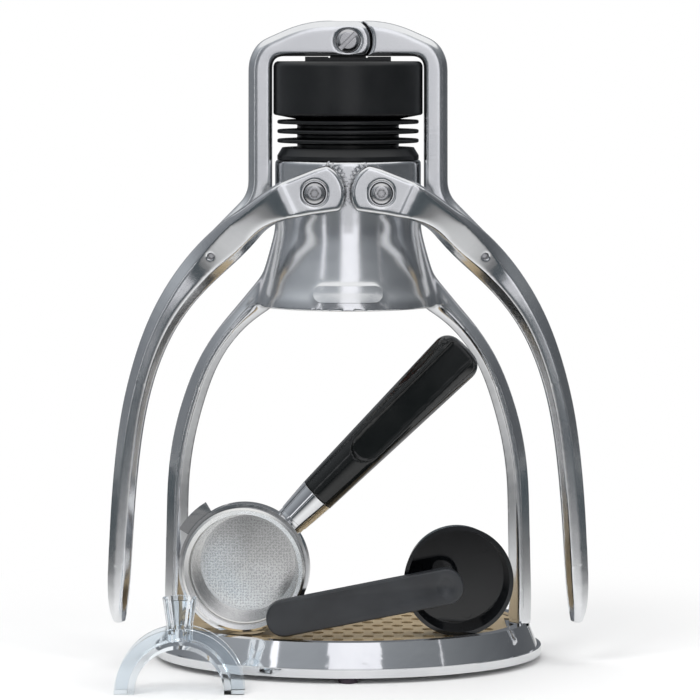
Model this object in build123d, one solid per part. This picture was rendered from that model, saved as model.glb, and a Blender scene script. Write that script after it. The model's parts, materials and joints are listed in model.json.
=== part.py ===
"""Manual lever espresso maker: a polished bell casting on two legs, a chromed oval base with a drip grid,
two geared levers that drive a finned piston through a split arch of links, a portafilter with its basket,
a scoop tamper and a clear twin spout.

Millimetres, +Z up. Pieces are drawn about the brew axis, with the table at zero, and are all moved back
by footprint_shift when they are written, so that the origin is the middle of the footprint on the table.
The front is towards -Y.
"""

import math
import os

from build123d import *

# Fits that several pieces share
run_gap = 0.05  # radial clearance of a turning or sliding fit
seat_gap = 0.2  # clearance between pieces that are assembled and stay put
free_gap = 0.5  # clearance between pieces that pass each other
rest_gap = 0.3  # under a loose piece that stands on another
overrun = 4.0  # how far a cut runs past the face that it leaves

# Heights above the table
foot_height = 2.5
base_height = 14.5  # of the base, above its feet
cup_space = 143.7  # from the base's rim up to the bell's mouth
bell_height = 66.3
base_bottom = foot_height
base_top = base_bottom + base_height
bell_bottom = base_top + cup_space
bell_top = bell_bottom + bell_height

# Base
leg_spread = 78.6  # brew axis to the middle of a leg's foot
leg_margin = 9.4  # middle of a leg's foot to the base's end
base_half_width = leg_spread + leg_margin
base_half_depth = 65.0
lip_height = 3.6
wall_lean = 4.5  # how far the base's wall leans in from lip to rim
lip_ledge = 1.6
rim_width = 4.5
grid_sink = 1.5  # rim above the grid
grid_thick = 1.5
grid_ledge = 4.0
pan_floor = 3.0
foot_radius = 4.1
foot_stem_radius = 1.8
foot_stem_length = 1.8
foot_inset = 0.6
foot_side_gap = 4.0  # side feet from the leg screws' heads
hole_radius = 2.6
hole_pitch = 9.0
hole_row = 8.6
hole_margin = 5.0
leg_post_half_depth = 11.0
leg_post_in = 16.0  # inner face of the leg's post from the base's end
leg_screw_radius = 2.5
leg_screw_head_radius = 4.5
leg_screw_head_height = 3.0
leg_screw_grip = 18.0  # how far the screw reaches into the leg
leg_screw_socket = 1.6

# Bell and legs, one casting
bell_radius = 33.3
bell_mouth_radius = 44.0
bell_waist_share = 0.56  # of the bell's height, where the flare begins
# height share, share of the flare's reach
flare_shares = ((0.43, 0.13), (0.32, 0.32), (0.21, 0.53), (0.11, 0.74), (0.04, 0.91))
bell_wall = 4.1
bell_edge = 1.6
boss_radius = 8.0
leg_width = 10.0
leg_depth = 19.0
leg_seat_share = 0.86  # of the base's height, where the leg stands
# share of the spread, share of the height from leg foot to bell top, width share, depth share
leg_spine_shares = (
    (0.36, 0.748, 1.70, 1.10),
    (0.475, 0.710, 1.40, 1.16),
    (0.588, 0.672, 1.04, 1.14),
    (0.712, 0.621, 0.88, 1.08),
    (0.817, 0.558, 0.90, 1.03),
    (0.890, 0.489, 0.95, 1.00),
    (0.952, 0.402, 0.97, 0.97),
    (0.984, 0.312, 0.96, 0.95),
    (0.992, 0.220, 0.97, 0.95),
    (0.997, 0.130, 0.98, 0.96),
    (1.000, 0.050, 0.99, 0.98),
    (1.000, -0.030, 1.00, 1.00),
)
leg_flat_share = 0.22  # of the width, the facet on the leg's front
leg_ridge_share = 0.03  # of the width, the facet's place inwards of the middle
leg_front_share = 0.12  # of the depth, where the sloping front faces end
leg_back_share = 0.22
socket_gap = 0.4  # radial clearance about the portafilter's collar
socket_ledge = 3.2  # height of the ledge that the lugs hang on
lug_gap = 0.8  # clearance about the portafilter's lugs
plaque_length = 31.0
plaque_height = 7.2
plaque_proud = 0.7
plaque_rise = 4.0  # plaque's lower edge above the mouth

# Brew chamber, inside the bell
chamber_bore = 25.5
chamber_wall = 3.4
chamber_rim_radius = 32.3
chamber_rim_height = 5.4
chamber_rim_bevel = 2.2
chamber_rim_slope = 3.6  # height of that bevel
screen_thick = 1.0
screen_seat = 8.4  # chamber's lower end above the bell's mouth
gasket_thick = 2.4
gasket_inner_radius = 22.5
screen_screw_radius = 1.5
screen_screw_head_radius = 3.2
screen_screw_head_height = 1.2
screen_bridge_thick = 2.2
screen_port_radius = 3.6
screen_port_circle = 14.0
screen_port_count = 6

# Levers
pivot_half_spacing = 14.75
pivot_above_mouth = 52.8
hub_front = 51.0  # hub's front face ahead of the brew axis
hub_plate = 8.0
gear_thick = 6.6
gear_teeth = 44
gear_addendum = 0.62
gear_dedendum = 1.05
gear_backlash = 0.3
gear_boss_radius = 9.0
gear_pressure_angle = 20.0
gear_spare = 28.0  # degrees of teeth past the mesh when the levers are down
gear_spare_raised = 14.0  # and when they are raised
hub_radius = 13.5
hub_edge = 1.8
lever_swing = 55.0  # degrees, from down to fully raised
lever_reach = 88.9
lever_drop = 195.0
lever_width = 18.0
lever_thick = 12.5
lever_setback = 29.6  # how far the arm steps back from the hub
# reach share, drop share, width share, setback share, thickness share, share of the front that is flat
lever_spine_shares = (
    (0.107, 0.010, 0.95, 0.00, 1.00, 0.88),
    (0.195, 0.028, 0.86, 0.03, 1.00, 0.86),
    (0.292, 0.057, 0.80, 0.25, 1.00, 0.76),
    (0.407, 0.105, 0.94, 0.66, 1.00, 0.62),
    (0.549, 0.167, 0.95, 0.97, 0.98, 0.46),
    (0.686, 0.241, 0.82, 1.00, 0.95, 0.38),
    (0.797, 0.328, 0.70, 1.00, 0.92, 0.36),
    (0.873, 0.421, 0.63, 1.00, 0.90, 0.38),
    (0.924, 0.518, 0.61, 1.00, 0.88, 0.40),
    (0.956, 0.621, 0.60, 1.00, 0.86, 0.42),
    (0.977, 0.729, 0.595, 1.00, 0.84, 0.42),
    (0.991, 0.839, 0.585, 1.00, 0.82, 0.42),
    (1.000, 0.931, 0.54, 1.00, 0.78, 0.40),
    (0.994, 1.000, 0.28, 1.00, 0.56, 0.50),
)
lever_front_share = 0.16  # of the thickness, where the sloping front faces end
lever_back_share = 0.24
lever_rear_flat_share = 0.68
# hub outline from the pivot: angle in degrees, radius share of the hub's radius
hub_crown_angle = 66.0
hub_chin_angle = -36.0
hub_tail_shares = ((-0.10, -0.71), (-0.85, -0.86), (-1.15, 0.33), (0.02, 0.80))
bush_wall = 1.4
pivot_screw_radius = 3.0
pivot_screw_head_radius = 5.2
pivot_screw_crown_share = 0.85  # of the head's height, its rounded edge
pivot_screw_head_height = 3.2
pivot_screw_recess = 2.6
pivot_screw_grip = 7.0
pivot_socket_width = 3.6
pivot_socket_depth = 1.8

# Links, the two halves of the arch
link_pin_reach = 46.9  # pivot to the link's pin, across
link_pin_drop = 29.4
link_pin_radius = 2.3
link_pin_stand = 8.0  # how far the pin stands out of the link, into the lever
link_pin_sight_radius = 1.45  # small hole through the lever's front, over the pin
link_depth = 16.0
link_bevel = 2.6
link_liner = 3.2  # width of the arch's inner edge that has no bevel
arch_half_width = 45.4
arch_inner_half_width = 34.7
arch_crown = 9.2  # arch's top above its hinge
arch_soffit = 7.0  # arch's underside below its hinge
# crown to shoulder: half width share, then how far below the crown as a share of the half width
arch_shoulder_shares = ((0.42, 0.0), (0.914, 0.220), (1.0, 0.408))
arch_shoulder_radii = (52.0, 13.0, 17.0)
arch_inner_radius = 4.5
hinge_above_bell = 54.0
knuckle_radius = 10.5
knuckle_room = 0.7  # under the arch, for the lap as it turns
lap_half = 3.5  # half of the gap between the two laps
lap_end_gap = 0.6  # each half's end from the hinge's middle, over the knuckle
knee_radius = 14.0
knee_drop = 15.8  # outer knee below the bell's top
knee_width = 8.9  # inner knee below it
# the link's end behind the lever, from the pin, as shares of the crank
link_tail_shares = ((-0.108, 0.081), (-0.165, -0.018), (-0.136, -0.122), (-0.027, -0.150), (0.090, -0.081))
link_tail_radius = 4.0
hinge_screw_radius = 3.0
hinge_head_radius = 5.4
hinge_head_height = 2.4
hinge_head_recess = 1.4
hinge_crown_share = 0.85  # of the head's height, its rounded edge
hinge_slot_width = 2.2
hinge_slot_depth = 1.2
hinge_slot_angle = 45.0
hinge_nut_radius = 5.0
hinge_nut_height = 3.0

# Piston
cup_radius = 34.1
cup_wall = 2.4
cup_floor = 2.6
cup_edge = 1.6
cup_cone = 2.1
cup_column_radius = 9.0
cup_port_radius = 4.0
cup_port_circle = 16.0
cup_port_count = 6
yoke_block_width = 39.0
yoke_block_depth = 20.0
yoke_block_height = 1.6
yoke_neck_width = 16.4
yoke_top_gap = 0.2  # under the arch, at rest
yoke_notch_width = 18.0  # in the block's top, for the laps as they turn
stem_radius = 23.2
stem_wall = 3.2
fin_radius = 32.3
fin_root = 2.4
fin_tip = 1.7
fin_pitch = 4.3
fin_count = 3
fin_gap = 3.1  # middle of the lowest fin above the chamber's rim
cup_gap = 1.2  # cup above the middle of the highest fin
head_height = 7.0
head_floor = 2.0  # piston's face above the shower screen's bridge at rest
seal_width = 2.6
seal_groove = 1.8
rod_radius = 3.0
rod_nut_radius = 5.5
rod_nut_height = 3.0
valve_thick = 1.2
valve_circle = 14.0
valve_port_radius = 3.0

# Portafilter
filter_radius = 29.2
filter_collar = 8.0
filter_depth = 25.0
filter_foot_radius = 24.6
filter_wall = 2.3
filter_waist_share = 0.5  # of the depth, where the bowl begins to draw in
filter_waist_radius = 28.0
filter_bore = 26.0
filter_floor = 3.0
outlet_radius = 9.0
outlet_bore = 6.2
outlet_length = 14.0
lug_radius = 34.0
lug_height = 3.8
lug_drop = 1.4
lug_angle = 28.0
lug_from_handle = 90.0
basket_rim_radius = 27.6
basket_rim_height = 1.4
basket_rim_lip = 1.0
basket_top_radius = 25.3
basket_floor_radius = 22.2
basket_depth = 19.5
basket_sheet = 0.6
basket_groove_drop = 4.5
basket_groove_depth = 0.5
neck_radius = 6.9
neck_drop = 10.0  # handle's axis below the rim
neck_length = 1.6
ferrule_length = 15.0
ferrule_start_radius = 7.2
grip_start_radius = 8.4
grip_end_radius = 11.8
grip_length = 94.0
grip_round = 7.0
grip_panel_start = 25.0
grip_panel_width = 12.5
grip_panel_depth = 2.0
stud_radius = 3.0
stud_grip = 30.0
spring_wire = 0.7
filter_place_across = -46.6
filter_place_front = 33.0  # rim ahead of the brew axis
filter_turn = -4.0
handle_rise = 45.0  # degrees above level

# Scoop tamper
dish_radius = 24.5
dish_depth = 15.0
dish_wall = 1.8
dish_floor = 2.0
dish_taper = 1.6
dish_mark_radius = 1.9
dish_mark_depth = 0.4
dish_mark_circle = 17.5
dish_mark_count = 3
dish_mark_turn = 35.0
post_radius = 7.0
post_offset = 6.5
bar_half_width = 8.0
bar_thick = 5.6
bar_length = 72.7  # between the middles of its two round ends
bar_droop = 10.8
bar_gap = 3.2  # bar ahead of the dish's rim
bar_edge = 0.9
dimple_radius = 4.2
dimple_depth = 1.1
dish_place_in = 38.7  # dish's middle from the base's end
dish_place_across = base_half_width - dish_place_in
dish_place_front = 36.6
dish_turn = 2.0
stake_radius = 2.5

# Twin spout
spout_outer_radius = 28.0
spout_band = 8.6
spout_depth = 13.0
channel_width = 8.6
channel_depth = 5.6
spout_place_across = -72.5
spout_place_front = 81.0
prong_base_radius = 5.6
prong_top_radius = 7.5
prong_wall = 1.5
prong_height = 12.5
prong_slot = 2.6

# Heights and places that follow from the sizes above
leg_seat = base_bottom + base_height * leg_seat_share
grid_top = base_top - grid_sink
pivot_height = bell_bottom + pivot_above_mouth
hinge_height = bell_top + hinge_above_bell
chamber_bottom = bell_bottom + screen_seat
chamber_outer = chamber_bore + chamber_wall
socket_radius = filter_radius + socket_gap
lug_room_radius = lug_radius + lug_gap
lug_room_height = lug_height + lug_gap
hub_back = hub_front - hub_plate
gear_back = hub_back - gear_thick
link_front = link_depth / 2
link_pin_across = pivot_half_spacing + link_pin_reach
link_pin_height = pivot_height - link_pin_drop
link_length = math.hypot(link_pin_across, hinge_height - link_pin_height)
crank_length = math.hypot(link_pin_reach, link_pin_drop)
crank_angle = -math.degrees(math.atan2(link_pin_drop, link_pin_reach))
footprint_back = base_half_depth
footprint_front = spout_place_front + spout_depth / 2
footprint_shift = (footprint_front - footprint_back) / 2


def crank_pin(swing):
    """Where the left lever's link pin is, across and up, with the lever raised by swing degrees."""
    angle = math.radians(crank_angle + swing)
    across = pivot_half_spacing + crank_length * math.cos(angle)
    return -across, pivot_height + crank_length * math.sin(angle)


def piston_rise(swing):
    """How far the link carries the arch's hinge up from rest at that swing."""
    across, up = crank_pin(swing)
    return up + math.sqrt(link_length**2 - across**2) - hinge_height


def link_tilt(swing):
    """Angle of the link from plumb, in degrees, at that swing."""
    return math.degrees(math.asin(-crank_pin(swing)[0] / link_length))


piston_travel = piston_rise(lever_swing)
link_turn = link_tilt(lever_swing) - link_tilt(0)


def pocket_offsets(steps=22):
    """Where the link's pin lies in the left lever, from rest, as hinge and piston follow the lever.

    The links and the piston follow at fixed ratios, which are exact at both ends of the travel.
    """
    found = []
    for k in range(steps + 1):
        share = k / steps
        across, up = crank_pin(lever_swing * share)
        tilt = math.radians(link_tilt(0) + link_turn * share)
        away_across = -link_length * math.sin(tilt) - across
        away_up = hinge_height + piston_travel * share - link_length * math.cos(tilt) - up
        back = math.radians(lever_swing * share)
        found.append((
            away_across * math.cos(back) - away_up * math.sin(back),
            away_across * math.sin(back) + away_up * math.cos(back),
        ))
    return found


# Shapes that several pieces use


def turned(points):
    """A solid turned about the Z axis from an outline of (radius, height) points."""
    outline = Polyline(*[(r, 0, z) for r, z in points], close=True)
    return revolve(make_face(outline), Axis.Z)


def rod(radius, bottom, top):
    """An upright cylinder on the brew axis."""
    return Pos(0, 0, bottom) * Cylinder(radius, top - bottom, align=(Align.CENTER, Align.CENTER, Align.MIN))


def tube(outer, inner, bottom, top):
    return rod(outer, bottom, top) - rod(inner, bottom - overrun, top + overrun)


def rod_back(radius, across, up, front, back):
    """A cylinder that lies front to back, from depth front to depth back, both measured along Y."""
    frame = Plane(origin=(across, front, up), x_dir=(1, 0, 0), z_dir=(0, 1, 0))
    return frame * Cylinder(radius, back - front, align=(Align.CENTER, Align.CENTER, Align.MIN))


def plate(outline, front, back):
    """An outline drawn in the XZ plane, given thickness from depth front to depth back."""
    frame = Plane(origin=(0, back, 0), x_dir=(1, 0, 0), z_dir=(0, -1, 0))
    return extrude(frame * outline, back - front)


def closed_face(points):
    return make_face(Polyline(*points, close=True))


def oval_block(half_width, half_depth, bottom, top):
    return extrude(Pos(0, 0, bottom) * Ellipse(half_width, half_depth), top - bottom)


def around(count, radius, shape, first=0.0):
    """Copies of a shape in a ring about the brew axis."""
    return [Rot(0, 0, first + 360 / count * k) * (Pos(radius, 0, 0) * shape) for k in range(count)]


def lofted(spine, section):
    """A bar through sections square to a spine of (middle, width, depth, flat share of the front)."""
    faces = []
    for k, (middle, width, depth, flat) in enumerate(spine):
        before = spine[max(k - 1, 0)][0]
        after = spine[min(k + 1, len(spine) - 1)][0]
        along = (Vector(*after) - Vector(*before)).normalized()
        across = along.cross(Vector(0, 1, 0)).normalized()
        frame = Plane(origin=middle, x_dir=across, z_dir=along)
        sign = 1 if frame.y_dir.Y > 0 else -1
        outline = [(u * width, sign * w * depth) for u, w in section(flat)]
        faces.append(frame * closed_face(outline))
    return loft(faces)


def mirrored(shape):
    return mirror(shape, about=Plane.YZ)


# Base and what it carries


def base_solid():
    lip = oval_block(base_half_width, base_half_depth, base_bottom, base_bottom + lip_height)
    low = Ellipse(base_half_width - lip_ledge, base_half_depth - lip_ledge)
    high_lean = lip_ledge + wall_lean
    high = Ellipse(base_half_width - high_lean, base_half_depth - high_lean)
    wall = loft([Pos(0, 0, base_bottom + lip_height) * low, Pos(0, 0, base_top) * high], ruled=True)
    return lip + wall


def pan_inset():
    return lip_ledge + wall_lean + rim_width


def leg_posts():
    """The two ends of the base that carry the legs, as far in as the posts reach."""
    inner = base_half_width - leg_post_in
    block = Box(
        leg_post_in + overrun, 2 * leg_post_half_depth, leg_seat - base_bottom,
        align=(Align.MIN, Align.CENTER, Align.MIN),
    )
    right = Pos(inner, 0, base_bottom) * block
    return right + mirrored(right)


def foot_places():
    across = leg_spread - leg_screw_head_radius - foot_side_gap - foot_radius
    ahead = base_half_depth - foot_radius - foot_inset
    return [(0, -ahead), (across, 0), (0, ahead), (-across, 0)]


def leg_foot_places():
    return [-leg_spread, leg_spread]


def base_casting():
    body = base_solid()
    inset = pan_inset()
    ledge_top = grid_top - grid_thick
    pocket = oval_block(base_half_width - inset, base_half_depth - inset, ledge_top, base_top + overrun)
    deep = inset + grid_ledge
    pan = oval_block(
        base_half_width - deep, base_half_depth - deep, base_bottom + pan_floor, base_top + overrun
    )
    hollow = base_solid() & leg_posts()
    body = body - pocket - pan + hollow
    over_posts = Pos(0, 0, leg_seat) * Box(
        2 * base_half_width + overrun, 2 * leg_post_half_depth, base_height,
        align=(Align.CENTER, Align.CENTER, Align.MIN),
    )
    middle = Pos(0, 0, leg_seat) * Box(
        2 * (base_half_width - leg_post_in), 2 * leg_post_half_depth, base_height,
        align=(Align.CENTER, Align.CENTER, Align.MIN),
    )
    body = body - (over_posts - middle)
    for across in leg_foot_places():
        shank = rod(leg_screw_radius + seat_gap, base_bottom - overrun, leg_seat + overrun)
        body -= Pos(across, 0, 0) * shank
        head_top = base_bottom + leg_screw_head_height + seat_gap
        body -= Pos(across, 0, 0) * rod(leg_screw_head_radius + seat_gap, base_bottom - overrun, head_top)
    for across, along in foot_places():
        body -= Pos(across, along, 0) * rod(
            foot_stem_radius, base_bottom - overrun, base_bottom + foot_stem_length
        )
    return body


def drip_grid():
    inset = pan_inset() + seat_gap
    half_width = base_half_width - inset
    half_depth = base_half_depth - inset
    face = Ellipse(half_width, half_depth)
    notch = base_half_width - leg_post_in - seat_gap
    for side in (-1, 1):
        face -= Pos(side * (notch + half_width) / 2, 0) * Rectangle(
            half_width - notch, 2 * (leg_post_half_depth + seat_gap)
        )
    rows = int((half_depth - hole_margin) / hole_row)
    holes = []
    for row in range(-rows, rows + 1):
        shift = hole_pitch / 2 if row % 2 else 0
        count = int(half_width / hole_pitch)
        for k in range(-count, count + 1):
            across, along = k * hole_pitch + shift, row * hole_row
            edge = hole_radius + hole_margin
            inside = (across / (half_width - edge)) ** 2 + (along / (half_depth - edge)) ** 2
            by_post = abs(across) > notch - edge and abs(along) < leg_post_half_depth + edge
            if inside < 1 and not by_post:
                holes.append(Pos(across, along) * Circle(hole_radius))
    face = face - holes
    return Pos(0, 0, grid_top - grid_thick) * extrude(face, grid_thick)


def feet():
    made = []
    for across, along in foot_places():
        pad = rod(foot_radius, 0, base_bottom)
        stem = rod(foot_stem_radius - run_gap, base_bottom, base_bottom + foot_stem_length - seat_gap)
        made.append(Pos(across, along, 0) * (pad + stem))
    return Compound(made)


def leg_screws():
    made = []
    for across in leg_foot_places():
        head = rod(leg_screw_head_radius, base_bottom + seat_gap, base_bottom + leg_screw_head_height)
        shank = rod(leg_screw_radius, base_bottom + leg_screw_head_height, leg_seat + leg_screw_grip)
        socket = rod(leg_screw_socket, base_bottom - overrun, base_bottom + leg_screw_head_height / 2)
        made.append(Pos(across, 0, 0) * (head + shank - socket))
    return Compound(made)


# Bell casting


def bell_outline():
    """Outer profile from the bell's top down to its mouth."""
    waist = bell_bottom + bell_height * bell_waist_share
    reach = bell_mouth_radius - bell_radius
    flare = [(bell_radius + reach * out, bell_bottom + bell_height * up) for up, out in flare_shares]
    return waist, flare


def bell_shell():
    waist, flare = bell_outline()
    mouth = (bell_mouth_radius, bell_bottom)
    straight = Line((bell_radius, 0, bell_top), (bell_radius, 0, waist))
    curve = Spline(
        *[(r, 0, z) for r, z in [(bell_radius, waist), *flare, mouth]], tangents=((0, 0, -1), (1, 0, -1))
    )
    closing = Polyline(
        (bell_mouth_radius, 0, bell_bottom), (0, 0, bell_bottom), (0, 0, bell_top), (bell_radius, 0, bell_top)
    )
    solid = revolve(make_face(straight + curve + closing), Axis.Z)
    top_edge = solid.edges().filter_by(GeomType.CIRCLE).sort_by(Axis.Z)[-1]
    return fillet(top_edge, bell_edge)


def leg_section(flat):
    """Shares of width and depth: the front is a narrow facet between two sloping faces."""
    inner, outer = leg_ridge_share - flat / 2, leg_ridge_share + flat / 2
    front = ((inner, -0.5), (outer, -0.5), (0.5, -leg_front_share), (0.5, leg_back_share))
    return front + ((0.3, 0.5), (-0.3, 0.5), (-0.5, leg_back_share), (-0.5, -leg_front_share))


def leg_spine():
    height = bell_top - leg_seat
    return [
        ((-leg_spread * out, 0, leg_seat + height * up), leg_width * width, leg_depth * depth, leg_flat_share)
        for out, up, width, depth in leg_spine_shares
    ]


def leg():
    body = lofted(leg_spine(), leg_section)
    # the foot is cut level where it stands on the base
    below = Pos(-leg_spread, 0, leg_seat) * Box(
        2 * leg_depth, 2 * leg_depth, base_height, align=(Align.CENTER, Align.CENTER, Align.MAX)
    )
    return body - below


def plaque():
    """The raised bare plate low on the bell's front, following the flare."""
    middle = bell_bottom + plaque_rise + plaque_height / 2
    outline = Pos(0, middle) * SlotOverall(plaque_length, plaque_height)
    prism = plate(outline, -bell_mouth_radius - overrun, -bell_radius + bell_wall)
    skin = offset(bell_shell(), amount=plaque_proud)
    return prism & skin


def pivot_bosses():
    made = []
    for side in (-1, 1):
        across = side * pivot_half_spacing
        made.append(rod_back(boss_radius, across, pivot_height, -gear_back + seat_gap, -bell_radius / 2))
    return made


def bell_casting():
    body = bell_shell()
    for boss in pivot_bosses():
        body += boss
    left = leg()
    body = body + left + mirrored(left)
    body = body + plaque()
    bore = chamber_outer + seat_gap
    lug_floor = bell_bottom + socket_ledge
    body -= rod(bore, chamber_bottom - gasket_thick, bell_top + overrun)
    body -= rod(socket_radius, bell_bottom - bell_height, lug_floor + lug_room_height)
    body -= rod(lug_room_radius, lug_floor, lug_floor + lug_room_height)
    half = math.radians(lug_angle / 2) + lug_gap / lug_radius
    for turn in (0, 180):
        gap = Polygon(
            (0, 0),
            (lug_room_radius * math.cos(half), -lug_room_radius * math.sin(half)),
            (lug_room_radius * math.cos(half), lug_room_radius * math.sin(half)),
            align=None,
        )
        rise = socket_ledge + overrun + lug_gap
        wedge = Rot(0, 0, turn) * extrude(Pos(0, 0, bell_bottom - overrun) * gap, rise)
        body -= wedge
    for side in (-1, 1):
        body -= rod_back(
            pivot_screw_radius, side * pivot_half_spacing, pivot_height,
            -hub_front, -gear_back + seat_gap + pivot_screw_grip,
        )
    for across in leg_foot_places():
        body -= Pos(across, 0, 0) * rod(
            leg_screw_radius, leg_seat - overrun, leg_seat + leg_screw_grip + seat_gap
        )
    return body


# Brew chamber


def brew_chamber():
    rim_top = bell_top + chamber_rim_height
    bridge_top = chamber_bottom + screen_bridge_thick
    body = turned([
        (chamber_bore, bridge_top), (chamber_bore, rim_top),
        (chamber_rim_radius - chamber_rim_bevel, rim_top),
        (chamber_rim_radius, rim_top - chamber_rim_slope), (chamber_rim_radius, bell_top),
        (chamber_outer, bell_top), (chamber_outer, chamber_bottom), (0, chamber_bottom), (0, bridge_top),
    ])
    body -= rod(chamber_bore, chamber_bottom - overrun, chamber_bottom + screen_thick)
    drill = rod(screen_port_radius, chamber_bottom, bridge_top)
    for port in around(screen_port_count, screen_port_circle, drill):
        body -= port
    return body - rod(screen_screw_radius, chamber_bottom - overrun, bridge_top + overrun)


def shower_screen():
    disc = rod(chamber_bore - seat_gap, chamber_bottom, chamber_bottom + screen_thick - run_gap)
    return disc - rod(screen_screw_radius + run_gap, chamber_bottom - overrun, chamber_bottom + overrun)


def screen_screw():
    head = rod(screen_screw_head_radius, chamber_bottom - screen_screw_head_height, chamber_bottom)
    shank = rod(screen_screw_radius - run_gap, chamber_bottom, chamber_bottom + screen_bridge_thick)
    return head + shank


def group_gasket():
    return tube(chamber_outer, gasket_inner_radius, chamber_bottom - gasket_thick, chamber_bottom)


# Levers


def gear_sector(phase, first, last):
    """Involute teeth about the origin of the XZ plane, from angle first to angle last in degrees."""
    pitch_radius = pivot_half_spacing
    base_radius = pitch_radius * math.cos(math.radians(gear_pressure_angle))
    tip, root = pitch_radius + gear_addendum, pitch_radius - gear_dedendum
    spacing = 360 / gear_teeth
    half_at_pitch = (math.pi * pitch_radius / gear_teeth - gear_backlash / 2) / 2 / pitch_radius

    def involute(radius):
        ratio = min(1.0, base_radius / radius)
        return math.tan(math.acos(ratio)) - math.acos(ratio)

    def half_angle(radius):
        return half_at_pitch + involute(pitch_radius) - involute(max(radius, base_radius))

    def at(radius, angle):
        return radius * math.cos(angle), radius * math.sin(angle)

    flank_radii = [root, base_radius, (base_radius + pitch_radius) / 2, pitch_radius, tip]
    outline = [(0, 0)]
    tooth = math.ceil((first - phase) / spacing)
    while phase + tooth * spacing <= last:
        middle = math.radians(phase + tooth * spacing)
        outline += [at(r, middle - half_angle(r)) for r in flank_radii]
        outline += [at(r, middle + half_angle(r)) for r in reversed(flank_radii)]
        tooth += 1
    return closed_face(outline)


def hub_outline():
    """The left hub's front plate about its pivot: round towards the other lever, running out into the arm."""
    crown, chin = math.radians(hub_crown_angle), math.radians(hub_chin_angle)
    start = (hub_radius * math.cos(crown), hub_radius * math.sin(crown))
    end = (hub_radius * math.cos(chin), hub_radius * math.sin(chin))
    tail = [(hub_radius * u, hub_radius * w) for u, w in hub_tail_shares]
    face = make_face(ThreePointArc(start, (hub_radius, 0), end) + Polyline(end, *tail, start))
    corners = face.vertices().sort_by(Axis.X)[-2:]
    return fillet(corners, hub_edge)


def lever_section(flat):
    """Shares of width and thickness: a flat front between two sloping faces, and a rounded-off back."""
    side, rear = 0.5, lever_rear_flat_share / 2
    front = ((-flat / 2, -0.5), (flat / 2, -0.5), (side, -lever_front_share), (side, lever_back_share))
    return front + ((rear, 0.5), (-rear, 0.5), (-side, lever_back_share), (-side, -lever_front_share))


def lever_spine():
    front_middle = -hub_front + lever_thick / 2
    return [
        (
            (
                -pivot_half_spacing - lever_reach * out,
                front_middle + lever_setback * back,
                pivot_height - lever_drop * down,
            ),
            lever_width * width,
            lever_thick * thick,
            flat,
        )
        for out, down, width, back, thick, flat in lever_spine_shares
    ]


def lever_shape():
    """The left lever without its teeth: a rounded hub plate that runs into the long curved arm."""
    hub = plate(Pos(-pivot_half_spacing, pivot_height) * hub_outline(), -hub_front, -hub_back)
    hub = fillet(hub.faces().sort_by(Axis.Y)[0].edges(), hub_edge)
    core = rod_back(gear_boss_radius, -pivot_half_spacing, pivot_height, -hub_back, -gear_back)
    return hub + core + lofted(lever_spine(), lever_section)


def pin_pocket():
    """Room in the back of the left lever for every place that the link's pin takes up there."""
    reach = link_pin_radius + free_gap / 2
    rings = [Pos(-link_pin_across + dx, link_pin_height + dz) * Circle(reach) for dx, dz in pocket_offsets()]
    edges = [edge for ring in rings for edge in ring.edges()]
    return plate(make_hull(edges), -link_front - link_pin_stand - free_gap, 0)


def lever(side):
    body = lever_shape() - pin_pocket()
    body -= rod_back(link_pin_sight_radius, -link_pin_across, link_pin_height, -hub_front, 0)
    if side > 0:
        body = mirrored(body)
    across = side * pivot_half_spacing
    half_pitch = 180 / gear_teeth
    if side < 0:
        teeth = gear_sector(0, -gear_spare, lever_swing + gear_spare_raised)
    else:
        last = 180 - lever_swing - gear_spare_raised
        teeth = gear_sector(180 + half_pitch, last, 180 + gear_spare)
    body += plate(Pos(across, pivot_height) * teeth, -hub_back - run_gap, -gear_back)
    bush_bore = pivot_screw_radius + run_gap + bush_wall + run_gap
    body -= rod_back(bush_bore, across, pivot_height, -hub_front - overrun, -gear_back + overrun)
    counterbore = pivot_screw_head_radius + free_gap
    return body - rod_back(
        counterbore, across, pivot_height, -hub_front - overrun, -hub_front + pivot_screw_recess + run_gap
    )


def lever_bush(side):
    across = side * pivot_half_spacing
    front = -hub_front + pivot_screw_recess + run_gap
    outer = pivot_screw_radius + run_gap + bush_wall
    sleeve = rod_back(outer, across, pivot_height, front, -gear_back)
    return sleeve - rod_back(pivot_screw_radius + run_gap, across, pivot_height, front - overrun, 0)


def pivot_screws():
    made = []
    for side in (-1, 1):
        across = side * pivot_half_spacing
        seat = -hub_front + pivot_screw_recess
        head = rod_back(pivot_screw_head_radius, across, pivot_height, seat - pivot_screw_head_height, seat)
        crown = head.faces().sort_by(Axis.Y)[0].edges()
        head = fillet(crown, pivot_screw_head_height * pivot_screw_crown_share)
        shank = rod_back(pivot_screw_radius, across, pivot_height, seat, pivot_screw_grip - gear_back)
        front = seat - pivot_screw_head_height
        socket = plate(
            Pos(across, pivot_height) * RegularPolygon(pivot_socket_width / 2, 6, major_radius=False),
            front - overrun, front + pivot_socket_depth,
        )
        made.append(head + shank - socket)
    return Compound(made)


def link_pin(side):
    """Steel pin driven into the link, its plain end in the pocket of the lever."""
    across = side * link_pin_across
    return rod_back(link_pin_radius, across, link_pin_height, -link_front - link_pin_stand, link_front)


# Links


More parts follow.
